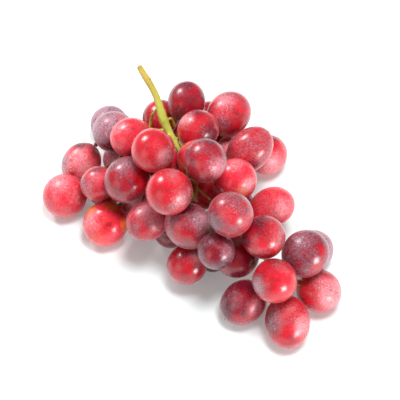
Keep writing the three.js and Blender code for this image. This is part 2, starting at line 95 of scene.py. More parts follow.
def edit(shape):
    """Starts editing one shape alone."""
    bpy.ops.object.select_all(action="DESELECT")
    shape.select_set(True)
    bpy.context.view_layer.objects.active = shape
    bpy.ops.object.mode_set(mode="EDIT")
    bpy.ops.mesh.select_mode(type="FACE")


def stop_editing():
    bpy.ops.object.mode_set(mode="OBJECT")


def ring_to(radius, level, old_radius, old_level):
    """Draws the selected cap of faces in or out to a ring of this radius, at this height."""
    change = radius / old_radius
    bpy.ops.transform.resize(value=(change, change, 1), center_override=(0, 0, old_level))
    bpy.ops.transform.translate(value=(0, 0, level - old_level))


def next_ring(radius, level, old_radius, old_level):
    """Adds another ring of skin inside the last one."""
    bpy.ops.mesh.extrude_region_move(TRANSFORM_OT_translate={"value": (0, 0, 0)})
    ring_to(radius, level, old_radius, old_level)


bpy.ops.mesh.primitive_uv_sphere_add(segments=BERRY_SIDES, ring_count=BERRY_RINGS, radius=1)
berry_form = bpy.context.object
berry_form.name = "berry_form"
first_ring = math.sin(math.pi / BERRY_RINGS)
first_level = math.cos(math.pi / BERRY_RINGS)
edit(berry_form)
pick(berry_form, lambda middle: middle.z > first_level)
lip_level = math.sqrt(1 - LIP**2)
ring_to(LIP, lip_level, first_ring, first_level)
next_ring(LIP * 0.86, lip_level - 0.006, LIP, lip_level)
next_ring(LIP * 0.72, lip_level - DIMPLE_DEEP, LIP * 0.86, lip_level - 0.006)
next_ring(CAP_SEAT, lip_level - DIMPLE_DEEP, LIP * 0.72, lip_level - DIMPLE_DEEP)
next_ring(CAP_SEAT * 0.6, SEAT_LEVEL, CAP_SEAT, lip_level - DIMPLE_DEEP)
pick(berry_form, lambda middle: middle.z < -first_level)
scar_level = -math.sqrt(1 - SCAR_HOLLOW**2)
ring_to(SCAR_HOLLOW, scar_level, first_ring, -first_level)
next_ring(SCAR_HOLLOW * 0.8, scar_level + SCAR_DEEP, SCAR_HOLLOW, scar_level)
next_ring(SCAR_DOT, scar_level + SCAR_DEEP, SCAR_HOLLOW * 0.8, scar_level + SCAR_DEEP)
next_ring(SCAR_DOT * 0.8, scar_level - SCAR_DEEP / 2, SCAR_DOT, scar_level + SCAR_DEEP)
stop_editing()
smoother = berry_form.modifiers.new("rounding", "SUBSURF")
smoother.levels = smoother.render_levels = 1
bpy.ops.object.modifier_apply(modifier=smoother.name)
bpy.ops.object.shade_smooth()


# The skin of the berries: thin and translucent over pale flesh, rose to plum in colour, under
# a dusty wax bloom that is rubbed off in places. Where each berry is riper, waxier, warmer or
# rubbed is painted on its mesh, and this group breaks the paint up as skin does. On a few
# berries that paint also holds painted light: paler, waxier skin where they lie in shade, and
# wax where highlights fall.
ROSE = (0.74, 0.026, 0.052, 1)
SCARLET = (0.54, 0.007, 0.018, 1)
WINE = (0.20, 0.005, 0.018, 1)
PLUM = (0.050, 0.007, 0.020, 1)
AMBER = (0.86, 0.17, 0.020, 1)
RUBBED_RED = (0.30, 0.001, 0.004, 1)
FRECKLE = (0.17, 0.006, 0.010, 1)
# How many patches, dots or cracks of each kind there are to the metre.
CLOUDS, MOTTLES, DUST = 210, 950, 2600
FRECKLES, PORES, SPECKS, CRACKS = 900, 1200, 1300, 620
# How far the clouds and the mottles shift the paint.
CLOUD_SHIFT = 0.75
MOTTLE_SHIFT = 0.55
# How ripe the skin is where it turns scarlet and wine, and where each effect starts and is full.
SCARLET_AT, WINE_AT = 0.28, 0.62
WARMTH = (0.25, 0.9)
RUBBING = (0.36, 0.52)
BLOOMING = (0.36, 1.20)
POWDER = (0.38, 0.62)
CREASING = (0.42, 0.60)
# How much more ragged the mottles make the rubbed edges and the bloom, and how little powder
# there is between its grains.
RAGGED, BROKEN = 2.0, 1.4
LEAST_POWDER = 0.55
# A crack's width and bend, and the share of a dot's and a crack's width that shows in full.
CRACK_WIDTH = 0.16
CRACK_BEND = 0.0016
DOT_CORE, CRACK_CORE = 0.4, 0.2
# How strongly each effect shows.
RUBBED_SHARE = 0.75
FRECKLE_SHARE = 0.55
BARE_SHARE = 0.70
SPECK_SHARE = 0.34
WAX_SHARE = 0.62
CLEAN_ROUGHNESS, WAX_ROUGHNESS, MOTTLE_ROUGHNESS = 0.24, 0.30, 0.06
CLEAN_COAT, WAX_DULLING = 0.50, 0.30
DUST_RISE = 0.35


def node(tree, kind, inputs=(), **settings):
    """Adds a shader node. Each input is a number, a colour or another node's output."""
    made = tree.nodes.new("ShaderNode" + kind)
    for name, value in settings.items():
        setattr(made, name, value)
    for name, value in dict(inputs).items():
        if isinstance(value, bpy.types.NodeSocket):
            tree.links.new(value, made.inputs[name])
        else:
            made.inputs[name].default_value = value
    return made


def sums(tree, operation, first, second, clamp=False):
    """One step of arithmetic on two numbers or outputs."""
    step = node(tree, "Math", {0: first, 1: second}, operation=operation, use_clamp=clamp)
    return step.outputs[0]


def blend(tree, share, first, second):
    """Mixes two colours by a share."""
    mix = node(tree, "Mix", {0: share, 6: first, 7: second}, data_type="RGBA")
    return mix.outputs[2]


def ease(tree, value, low, high):
    """0 at low, 1 at high and past it, and a smooth change between. Low may be the larger."""
    ends = {"Value": value, "From Min": low, "From Max": high}
    return node(tree, "MapRange", ends, interpolation_type="SMOOTHSTEP").outputs[0]


def grain(tree, place, scale, detail=3.0, twist=0.0):
    """A cloudy pattern with about scale patches to the metre."""
    inputs = {"Vector": place, "Scale": scale, "Detail": detail, "Distortion": twist}
    return node(tree, "TexNoise", inputs).outputs["Fac"]


def dots(tree, place, scale, size, share):
    """Round dots of one size in some of the cells of a pattern."""
    cells = node(tree, "TexVoronoi", {"Vector": place, "Scale": scale, "Randomness": 1.0})
    near = ease(tree, cells.outputs["Distance"], size, size * DOT_CORE)
    lot = node(tree, "SeparateColor", {0: cells.outputs["Color"]}).outputs[0]
    return sums(tree, "MULTIPLY", near, sums(tree, "LESS_THAN", lot, share))


def veins(tree, place, scale, width):
    """A net of thin wandering lines."""
    noise = node(tree, "TexNoise", {"Vector": place, "Scale": scale, "Detail": 2.0})
    reach = {0: noise.outputs["Color"], 1: (CRACK_BEND, CRACK_BEND, CRACK_BEND)}
    stray = node(tree, "VectorMath", reach, operation="MULTIPLY").outputs[0]
    bent = node(tree, "VectorMath", {0: place, 1: stray}, operation="ADD").outputs[0]
    cells = node(tree, "TexVoronoi", {"Vector": bent, "Scale": scale}, feature="DISTANCE_TO_EDGE")
    return ease(tree, cells.outputs["Distance"], width, width * CRACK_CORE)


skin_pattern = bpy.data.node_groups.new("waxy_grape_skin", "ShaderNodeTree")
for name in ("Flush", "Bloom", "Warm", "Rubbed"):
    skin_pattern.interface.new_socket(name, in_out="INPUT", socket_type="NodeSocketFloat")
skin_pattern.interface.new_socket("Wax", in_out="INPUT", socket_type="NodeSocketColor")
skin_pattern.interface.new_socket("Colour", in_out="OUTPUT", socket_type="NodeSocketColor")
for name in ("Roughness", "Coat", "Height"):
    skin_pattern.interface.new_socket(name, in_out="OUTPUT", socket_type="NodeSocketFloat")
given = skin_pattern.nodes.new("NodeGroupInput").outputs
skin_out = skin_pattern.nodes.new("NodeGroupOutput").inputs
place = node(skin_pattern, "TexCoord").outputs["Object"]
clouds = grain(skin_pattern, place, CLOUDS, detail=4, twist=0.5)
mottle = grain(skin_pattern, place, MOTTLES, detail=5, twist=0.8)
dust = grain(skin_pattern, place, DUST, detail=2)

# Ripeness, with mottled edges, runs from rose through scarlet and wine to plum.
drift = sums(skin_pattern, "MULTIPLY", sums(skin_pattern, "SUBTRACT", clouds, 0.5), CLOUD_SHIFT)
flecks = sums(skin_pattern, "MULTIPLY", sums(skin_pattern, "SUBTRACT", mottle, 0.5), MOTTLE_SHIFT)
ripe = sums(skin_pattern, "ADD", given["Flush"], sums(skin_pattern, "ADD", drift, flecks))
scale_of_red = node(skin_pattern, "ValToRGB", {0: ripe})
ramp = scale_of_red.color_ramp
ramp.elements[0].position = 0.0
ramp.elements[0].color = ROSE
ramp.elements[1].position = 1.0
ramp.elements[1].color = PLUM
ramp.elements.new(SCARLET_AT).color = SCARLET
ramp.elements.new(WINE_AT).color = WINE
colour = scale_of_red.outputs["Color"]

# Amber shows where the skin was shaded, and deep red where a neighbour rubbed the wax off.
warm = ease(skin_pattern, sums(skin_pattern, "ADD", given["Warm"], drift), *WARMTH)
colour = blend(skin_pattern, warm, colour, AMBER)
ragged = sums(skin_pattern, "ADD", sums(skin_pattern, "MULTIPLY", flecks, RAGGED), drift)
streaks = sums(skin_pattern, "ADD", given["Rubbed"], ragged)
rubbed = ease(skin_pattern, streaks, *RUBBING)
share = sums(skin_pattern, "MULTIPLY", rubbed, RUBBED_SHARE)
colour = blend(skin_pattern, share, colour, RUBBED_RED)
freckles = dots(skin_pattern, place, FRECKLES, size=0.24, share=0.16)
share = sums(skin_pattern, "MULTIPLY", freckles, FRECKLE_SHARE)
colour = blend(skin_pattern, share, colour, FRECKLE)

# The bloom is thicker in clouds and broken by fine specks.
broken = sums(skin_pattern, "ADD", drift, sums(skin_pattern, "MULTIPLY", flecks, BROKEN))
cover = ease(skin_pattern, sums(skin_pattern, "ADD", given["Bloom"], broken), *BLOOMING)
powder = ease(skin_pattern, dust, *POWDER)
powder = sums(skin_pattern, "ADD", powder, LEAST_POWDER)
cover = sums(skin_pattern, "MULTIPLY", cover, powder)
pores = dots(skin_pattern, place, PORES, size=0.30, share=0.35)
creased = ease(skin_pattern, clouds, *CREASING)
net = veins(skin_pattern, place, CRACKS, CRACK_WIDTH)
cracks = sums(skin_pattern, "MULTIPLY", net, creased)
bare = sums(skin_pattern, "MAXIMUM", sums(skin_pattern, "MAXIMUM", rubbed, pores), cracks)
kept = sums(skin_pattern, "SUBTRACT", 1.0, sums(skin_pattern, "MULTIPLY", bare, BARE_SHARE))
cover = sums(skin_pattern, "MULTIPLY", cover, kept)
specks = dots(skin_pattern, place, SPECKS, size=0.20, share=0.16)
extra = sums(skin_pattern, "MULTIPLY", specks, SPECK_SHARE)
cover = sums(skin_pattern, "ADD", cover, extra, clamp=True)
share = sums(skin_pattern, "MULTIPLY", cover, WAX_SHARE)
colour = blend(skin_pattern, share, colour, given["Wax"])
skin_pattern.links.new(colour, skin_out["Colour"])
rough = sums(skin_pattern, "ADD", sums(skin_pattern, "MULTIPLY", cover, WAX_ROUGHNESS), CLEAN_ROUGHNESS)
rough = sums(skin_pattern, "ADD", rough, sums(skin_pattern, "MULTIPLY", mottle, MOTTLE_ROUGHNESS))
skin_pattern.links.new(rough, skin_out["Roughness"])
coat = sums(skin_pattern, "SUBTRACT", CLEAN_COAT, sums(skin_pattern, "MULTIPLY", cover, WAX_DULLING))
skin_pattern.links.new(coat, skin_out["Coat"])
height = sums(skin_pattern, "ADD", mottle, sums(skin_pattern, "MULTIPLY", dust, DUST_RISE))
skin_pattern.links.new(height, skin_out["Height"])


FLESH_REACH = (1.0, 0.22, 0.18)
FLESH_DEPTH = 0.0028
SHEEN_TINT = (0.92, 0.80, 0.90, 1)
PORE_DEPTH = 0.0002


def skin_material(name, wax, flesh, sheen):
    """The skin of one sort of berry: its wax, how much its flesh scatters, and its dusty sheen."""
    skin = bpy.data.materials.new(name)
    skin.use_nodes = True
    tree = skin.node_tree
    shader = tree.nodes["Principled BSDF"]
    shader.inputs["IOR"].default_value = 1.46
    shader.inputs["Subsurface Weight"].default_value = flesh
    shader.inputs["Subsurface Radius"].default_value = FLESH_REACH
    shader.inputs["Subsurface Scale"].default_value = FLESH_DEPTH
    shader.inputs["Sheen Weight"].default_value = sheen
    shader.inputs["Sheen Roughness"].default_value = 0.30
    shader.inputs["Sheen Tint"].default_value = SHEEN_TINT
    shader.inputs["Coat Roughness"].default_value = 0.23
    pattern = tree.nodes.new("ShaderNodeGroup")
    pattern.node_tree = skin_pattern
    pattern.inputs["Wax"].default_value = wax
    for paint in ("Flush", "Bloom", "Warm", "Rubbed"):
        painted = node(tree, "Attribute", attribute_name=paint.lower())
        tree.links.new(painted.outputs["Fac"], pattern.inputs[paint])
    rise = {"Height": pattern.outputs["Height"], "Strength": 0.22, "Distance": PORE_DEPTH}
    relief = node(tree, "Bump", rise)
    tree.links.new(pattern.outputs["Colour"], shader.inputs["Base Color"])
    tree.links.new(pattern.outputs["Roughness"], shader.inputs["Roughness"])
    tree.links.new(pattern.outputs["Coat"], shader.inputs["Coat Weight"])
    tree.links.new(relief.outputs["Normal"], shader.inputs["Normal"])
    return skin


rosy_skin = skin_material("rosy_grape_skin", (0.86, 0.50, 0.55, 1), 0.30, 0.16)
mauve_skin = skin_material("mauve_grape_skin", (0.76, 0.42, 0.50, 1), 0.22, 0.24)
dusky_skin = skin_material("dusky_grape_skin", (0.68, 0.46, 0.55, 1), 0.15, 0.28)


# Growing the berries: each takes the place, size and lie of its plain solid, is a little uneven,
# as fruit is, and is pressed flat where it rests on the table. Its paint lies on its own mesh.
LIP_SPOKES = 12
LIP_RADIUS = 0.0019
DIMPLE_IN_SOLID = 0.0005
WIDEST_RING = math.cos(math.pi / 14)
UNEVENNESS = 0.00045
LUMP_SIZE = 0.013

lumps = bpy.data.textures.new("berry_lumps", "CLOUDS")
lumps.noise_scale = LUMP_SIZE
lumps.noise_depth = 1


def lie_of(solid):
    """Finds the middle, the way to the stalk, the half width and the half length of a plain berry."""
    body = bmesh.new()
    body.from_mesh(solid.data)
    bmesh.ops.remove_doubles(body, verts=body.verts, dist=1e-6)
    spans = {
        v: sum(e.calc_length() for e in v.link_edges) / len(v.link_edges)
        for v in body.verts if len(v.link_edges) == LIP_SPOKES
    }
    dimple = min(spans, key=spans.get)
    lip = np.array([e.other_vert(dimple).co for e in dimple.link_edges])
    points = np.array([v.co for v in body.verts])
    foot = np.array(dimple.co)
    body.free()
    axis = np.linalg.svd(lip - lip.mean(0))[2][2]
    axis *= np.sign(axis @ (lip.mean(0) - points.mean(0)))
    along = (points - foot) @ axis
    out = np.linalg.norm(points - foot - np.outer(along, axis), axis=1)
    wide = along[out > out.max() * 0.995]
    middle = (wide.min() + wide.max()) / 2
    return Vector(foot + axis * middle), Vector(axis), out.max() / WIDEST_RING, DIMPLE_IN_SOLID - middle


def seen(right, up):
    """The way from a berry's middle to a spot that the viewer sees right and up of it, in radii."""
    towards = math.sqrt(max(0.0, 1 - right * right - up * up))
    return RIGHTWARD * right + UPWARD * up + TOWARDS_EYE * towards


def painted(shape, name, middle, base, spots):
    """Paints one property on a berry: a base value, and more or less of it round each spot."""
    count = len(shape.data.vertices)
    points = np.empty(count * 3)
    shape.data.vertices.foreach_get("co", points)
    ways = points.reshape(-1, 3) - np.array(middle)
    ways /= np.linalg.norm(ways, axis=1)[:, None]
    value = np.full(count, base)
    for right, up, reach, amount in spots:
        apart = np.arccos(np.clip(ways @ np.array(seen(right, up).normalized()), -1, 1))
        share = np.clip(1 - apart / reach, 0, 1)
        value += amount * share * share * (3 - 2 * share)
    layer = shape.data.attributes.new(name, "FLOAT", "POINT")
    layer.data.foreach_set("value", np.clip(value, 0, 1).astype(np.float32))


def grow_berry(number, skin, flush, bloom, warm=0.0, spots=()):
    """Makes one berry from the form, in place of its plain solid, and paints it."""
    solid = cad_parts[f"berry_{number:02d}"]
    middle, axis, half_width, half_length = lie_of(solid)
    berry = berry_form.copy()
    berry.data = berry_form.data.copy()
    berry.name = berry.data.name = f"grape_{number:02d}"
    bpy.context.scene.collection.objects.link(berry)
    turn = Vector((0, 0, 1)).rotation_difference(axis).to_matrix().to_4x4()
    size = Matrix.Diagonal((half_width, half_width, half_length, 1))
    berry.data.transform(Matrix.Translation(middle) @ turn @ size)
    bpy.ops.object.select_all(action="DESELECT")
    berry.select_set(True)
    bpy.context.view_layer.objects.active = berry
    uneven = berry.modifiers.new("unevenness", "DISPLACE")
    uneven.texture = lumps
    uneven.texture_coords = "LOCAL"
    uneven.strength = UNEVENNESS
    bpy.ops.object.modifier_apply(modifier=uneven.name)
    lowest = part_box(solid.name)[0].z
    if lowest < UNEVENNESS:
        edit(berry)
        bpy.ops.mesh.select_mode(type="VERT")
        bpy.ops.mesh.select_all(action="DESELECT")
        body = bmesh.from_edit_mesh(berry.data)
        for corner in body.verts:
            corner.select = corner.co.z < 0
        body.select_flush_mode()
        bmesh.update_edit_mesh(berry.data)
        bpy.ops.transform.resize(value=(1, 1, 0), center_override=(0, 0, 0))
        stop_editing()
    for name, base in (("flush", flush), ("bloom", bloom), ("warm", warm), ("rubbed", 0.0)):
        own = [spot[1:] for spot in spots if spot[0] == name]
        painted(berry, name, middle, base, own)
    berry.data.materials.clear()
    berry.data.materials.append(skin)
    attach(berry, "root")
    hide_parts(solid.name)


# The left shoulder of the bunch: ten berries, the bright ones low at the side and the dusty
# purple ones behind. A row gives a berry's number, skin, flush, bloom and warmth, then its spots:
# what is more or less there, how far right and up it lies, its reach and its strength.
LEFT_SHOULDER = [
    # Berry 1's right side lies in a neighbour's shade: the bloom spot there is partly its own wax and
    # partly painted light that lifts the shade.
    (1, rosy_skin, 0.05, 0.50, 0.05, [
        ("warm", 0.85, 0.45, 0.5, 0.6), ("rubbed", -0.2, -0.65, 0.6, 0.4),
        ("rubbed", 0.2, 0.1, 0.5, 0.2), ("bloom", -0.2, 0.65, 0.9, 0.5),
        ("bloom", 0.7, 0.0, 0.7, 0.3), ("flush", -0.95, -0.2, 0.6, 0.15)]),
    (2, rosy_skin, 0.07, 0.58, 0.05, [
        ("bloom", -0.8, 0.0, 0.8, 0.8), ("flush", -0.9, 0.0, 0.9, 0.75),
        ("flush", 0.0, 0.95, 0.7, 0.8), ("flush", 0.7, 0.5, 0.5, 0.4),
        ("rubbed", 0.5, 0.4, 0.45, 0.35), ("warm", 0.5, -0.55, 0.6, 0.6),
        ("rubbed", -0.35, -0.6, 0.35, 0.6), ("bloom", -0.05, 0.3, 0.7, 0.6),
        ("flush", 0.0, 0.6, 0.5, 0.3), ("bloom", 0.3, -0.5, 0.8, 0.6),
        ("flush", 0.1, -0.6, 0.6, -0.1)]),
    (3, dusky_skin, 0.68, 0.84, 0.0, [
        ("flush", 0.5, 0.6, 0.8, -0.25), ("bloom", -0.1, -0.8, 0.9, -0.55),
        ("bloom", -0.8, 0.4, 0.8, 0.3), ("flush", -0.1, -0.9, 0.8, 0.2),
        ("rubbed", -0.45, 0.1, 0.35, 0.4), ("bloom", -0.05, 0.3, 0.5, 0.1)]),
    (4, dusky_skin, 0.72, 1.00, 0.0, [("bloom", 0.3, 0.8, 0.5, -0.1)]),
    (5, rosy_skin, 0.09, 0.46, 0.0, [
        ("bloom", -0.6, 0.4, 0.8, 0.35), ("rubbed", 0.3, 0.35, 0.5, 0.45),
        ("rubbed", 0.0, -0.75, 0.5, 0.5), ("rubbed", -0.5, -0.35, 0.45, 0.35)]),
    (6, dusky_skin, 0.45, 0.80, 0.0, []),
    (7, mauve_skin, 0.27, 0.58, 0.0, [
        ("flush", 0.5, 0.1, 0.7, -0.30), ("rubbed", 0.45, 0.1, 0.4, 0.3),
        ("bloom", -0.7, 0.0, 0.8, 0.2), ("flush", -0.8, 0.0, 0.7, 0.35),
        ("bloom", 0.0, 0.4, 0.6, 0.2), ("flush", 0.0, -0.7, 0.7, -0.15),
        ("flush", 0.0, 0.8, 0.6, 0.35), ("bloom", 0.0, -0.7, 0.6, -0.2)]),
    (8, mauve_skin, 0.52, 0.50, 0.0, [
        ("bloom", 0.0, 0.7, 1.0, 0.3), ("flush", 0.0, 0.8, 0.9, 0.3),
        ("flush", 0.75, -0.1, 0.7, -0.30), ("bloom", 0.75, -0.1, 0.7, -0.45),
        ("rubbed", 0.5, -0.1, 0.45, 0.45), ("flush", -0.1, -0.1, 0.6, -0.12),
        ("bloom", -0.1, -0.2, 0.6, -0.15)]),
    (9, rosy_skin, 0.0, 0.34, 0.30, [
        ("warm", -0.65, 0.6, 0.55, 0.7), ("warm", 0.3, 0.85, 0.55, 0.8),
        ("warm", 0.9, -0.05, 0.45, 0.8), ("bloom", -0.65, 0.2, 0.9, 0.6),
        ("rubbed", 0.25, -0.1, 0.6, 0.5), ("flush", 0.25, -0.1, 0.5, 0.15),
        ("warm", -0.2, -0.7, 0.6, 0.2)]),
    # Berry 10 lies in shade: it is painted pale and waxy all over, partly its own bloom and partly
    # painted light that lifts the shade.
    (10, rosy_skin, 0.08, 1.00, 0.0, []),
]
for row in LEFT_SHOULDER:
    grow_berry(*row)


# The crown, where the stalk goes in: eight berries of every shade round it.
CROWN = [
    (11, rosy_skin, 0.21, 0.35, 0.0, [
        ("bloom", 0.6, -0.4, 0.8, 0.85), ("flush", 0.75, -0.3, 0.7, 0.2),
        ("rubbed", 0.25, 0.0, 0.3, 0.5), ("rubbed", -0.5, 0.3, 0.5, 0.25),
        ("bloom", 0.2, 0.2, 0.5, 0.2)]),
    (12, rosy_skin, 0.24, 0.32, 0.0, [
        ("bloom", 0.6, -0.4, 1.0, 0.55), ("flush", 0.8, -0.2, 0.8, 0.25),
        ("bloom", 0.2, 0.7, 0.8, 0.4), ("flush", 0.1, 0.8, 0.7, 0.15),
        ("flush", 0.0, -0.8, 0.7, 0.15), ("rubbed", -0.5, 0.0, 0.6, 0.3)]),
    (13, mauve_skin, 0.54, 0.50, 0.0, [
        ("rubbed", -0.65, 0.3, 0.4, 0.4), ("flush", 0.1, -0.2, 0.9, -0.18),
        ("bloom", 0.6, -0.4, 0.8, 0.65), ("flush", 0.6, -0.5, 0.7, -0.2),
        ("bloom", -0.3, 0.6, 0.5, 0.2), ("flush", 0.3, 0.9, 0.6, 0.3),
        ("flush", -0.2, -0.9, 0.7, -0.25), ("rubbed", -0.2, -0.5, 0.5, 0.2)]),
    (14, rosy_skin, 0.05, 0.40, 0.20, [("warm", -0.8, -0.4, 0.8, 0.5)]),
    (15, rosy_skin, 0.22, 0.44, 0.0, [
        ("bloom", -0.6, 0.5, 0.7, 0.6), ("flush", -0.7, 0.6, 0.5, 0.3),
        ("rubbed", -0.75, -0.2, 0.35, 0.6), ("flush", 0.7, -0.2, 1.0, 0.6),
        ("flush", 0.0, 0.8, 0.7, 0.4), ("flush", 0.0, -0.8, 0.7, 0.4),
        ("bloom", 0.0, -0.7, 0.6, 0.2)]),
    (16, mauve_skin, 0.54, 0.42, 0.0, [
        ("flush", 0.5, 0.7, 0.4, -0.2), ("rubbed", 0.2, -0.3, 0.5, 0.5),
        ("rubbed", 0.6, -0.1, 0.5, 0.45), ("bloom", -0.3, 0.5, 0.8, 0.15),
        ("flush", 0.0, 0.8, 0.6, 0.15)]),
    (17, mauve_skin, 0.26, 0.45, 0.0, [
        ("flush", -0.9, 0.3, 0.7, 0.3), ("flush", 0.2, 0.8, 0.8, 0.2)]),
    (18, rosy_skin, 0.22, 0.15, 0.0, []),
]
for row in CROWN:
    grow_berry(*row)


# The right shoulder: seven berries, pink and mauve at the back and bright red at the front.
RIGHT_SHOULDER = [
    (19, mauve_skin, 0.27, 0.50, 0.0, [
        ("rubbed", 0.35, 0.1, 0.6, 0.5), ("flush", 0.35, 0.1, 0.6, -0.1),
        ("rubbed", -0.45, -0.35, 0.3, 0.5), ("warm", -0.95, -0.2, 0.4, 0.7),
        ("bloom", -0.4, -0.4, 0.8, 0.25), ("flush", -0.2, -0.6, 0.7, 0.25),
        ("bloom", -0.2, 0.6, 0.8, 0.55), ("flush", 0.0, 0.9, 0.6, 0.2),
        ("bloom", 0.3, -0.8, 0.6, -0.3)]),
    (20, rosy_skin, 0.52, 0.25, 0.0, []),
    (21, mauve_skin, 0.34, 0.62, 0.0, [
        ("rubbed", -0.1, -0.3, 0.35, 0.5), ("rubbed", 0.45, 0.2, 0.6, 0.3),
        ("flush", 0.7, 0.1, 0.8, 0.1), ("flush", 0.0, -0.8, 0.7, 0.35),
        ("bloom", 0.0, -0.8, 0.7, -0.25), ("flush", 0.0, 0.7, 0.7, 0.1)]),
    (22, rosy_skin, 0.06, 0.50, 0.0, [
        ("flush", 0.1, 0.9, 0.8, 0.6), ("bloom", 0.05, 0.7, 0.8, -0.8),
        ("bloom", 0.2, -0.5, 0.9, 0.6)]),
    # Berry 23 lies in shade: it is painted pale and waxy all over, partly its own bloom and partly
    # painted light that lifts the shade.
    (23, rosy_skin, 0.02, 1.00, 0.0, []),
    # Berry 24: the bloom spot low on its right lies where the front window's glint falls, partly its
    # own wax and partly a painted highlight.
    (24, rosy_skin, 0.02, 0.38, 0.20, [
        ("rubbed", 0.15, 0.3, 0.45, 0.35), ("bloom", 0.6, -0.25, 0.7, 0.65),
        ("bloom", 0.0, 0.7, 0.8, 0.45), ("warm", 0.2, -0.7, 0.7, 0.6),
        ("bloom", 0.0, -0.7, 0.7, 0.2)]),
    (25, rosy_skin, 0.02, 0.54, 0.0, [
        ("rubbed", -0.6, 0.3, 0.6, 0.3), ("flush", -0.8, 0.1, 0.7, 0.25),
        ("bloom", 0.5, 0.0, 0.8, 0.45), ("bloom", 0.0, -0.7, 0.8, 0.15),
        ("flush", 0.0, 0.9, 0.6, 0.1)]),
]
for row in RIGHT_SHOULDER:
    grow_berry(*row)


# The front: eleven berries down the side that faces the viewer, mauve above and dark below.
FRONT = [
    # Berry 26's right side lies in shade: it is painted less ripe and waxier there, partly its own wax
    # and partly painted light that lifts the shade.
    (26, mauve_skin, 0.35, 0.56, 0.0, [
        ("bloom", 0.0, 0.6, 1.0, 0.4), ("rubbed", 0.0, -0.25, 0.5, 0.3),
        ("flush", -0.7, -0.3, 0.7, 0.1), ("flush", -0.2, -0.8, 0.7, 0.15),
        ("bloom", -0.2, -0.8, 0.6, -0.15), ("bloom", 0.65, -0.1, 0.8, 0.6),
        ("flush", 0.8, 0.0, 0.9, -0.45)]),
    (27, mauve_skin, 0.62, 0.35, 0.0, []),
    (28, dusky_skin, 0.52, 0.60, 0.0, [
        ("bloom", 0.6, 0.2, 0.8, 0.5), ("flush", 0.7, 0.0, 0.6, -0.15),
        ("flush", -0.2, -0.4, 0.8, -0.25), ("bloom", -0.2, -0.3, 0.7, -0.2),
        ("flush", 0.0, 0.8, 0.8, 0.4), ("bloom", 0.0, 0.8, 0.6, -0.2),
        ("rubbed", -0.1, -0.2, 0.5, 0.2)]),
    (29, rosy_skin, 0.42, 0.40, 0.0, [
        ("bloom", 0.5, 0.4, 0.7, 0.4), ("flush", 0.6, 0.4, 0.7, 0.2),
        ("rubbed", -0.4, 0.0, 0.6, 0.3), ("flush", 0.0, -0.8, 0.6, 0.1),
        ("bloom", 0.5, -0.5, 0.7, -0.25)]),
    (30, mauve_skin, 0.72, 0.55, 0.0, [
        ("rubbed", -0.1, 0.15, 0.45, 0.5), ("bloom", 0.6, 0.0, 0.8, 0.25),
        ("flush", -0.3, -0.2, 0.6, -0.2), ("flush", 0.3, -0.8, 0.8, 0.3),
        ("bloom", -0.2, -0.2, 0.6, -0.3), ("flush", 0.8, 0.0, 0.6, 0.15)]),
    (31, dusky_skin, 0.85, 0.50, 0.0, []),
    (32, mauve_skin, 0.54, 0.33, 0.0, [
        ("bloom", -0.6, -0.5, 0.8, 0.2), ("flush", 0.0, -0.8, 0.7, 0.2),
        ("rubbed", 0.0, 0.5, 0.8, 0.4)]),
    (33, mauve_skin, 0.48, 0.62, 0.0, [
        ("flush", -0.1, 0.0, 0.7, -0.2), ("bloom", -0.1, 0.0, 0.7, -0.05),
        ("rubbed", -0.7, 0.5, 0.4, 0.6), ("flush", -0.8, -0.2, 0.8, 0.35),
        ("flush", 0.2, 0.9, 0.7, 0.15), ("flush", 0.7, -0.3, 0.6, -0.15),
        ("warm", -0.1, 0.0, 0.45, 0.3), ("bloom", -0.1, -0.8, 0.6, -0.2)]),
    (34, rosy_skin, 0.34, 0.42, 0.0, [
        ("flush", -0.3, 0.7, 0.9, 0.4), ("bloom", 0.2, 0.7, 0.7, 0.15),
        ("flush", -0.1, -0.5, 0.8, -0.1), ("rubbed", -0.1, -0.5, 0.7, 0.1),
        ("flush", -0.9, -0.1, 0.7, 0.3), ("bloom", 0.7, 0.0, 0.8, 0.35),
        ("flush", 0.8, 0.0, 0.6, 0.15), ("bloom", -0.1, -0.6, 0.6, 0.2)]),
    # Berry 35 lies deep in shade: it is painted less ripe and warmer than it is, painted light that
    # lifts the shade.
    (35, mauve_skin, 0.20, 0.30, 0.35, []),
    (36, mauve_skin, 0.50, 0.25, 0.0, []),
]
for row in FRONT:
    grow_berry(*row)


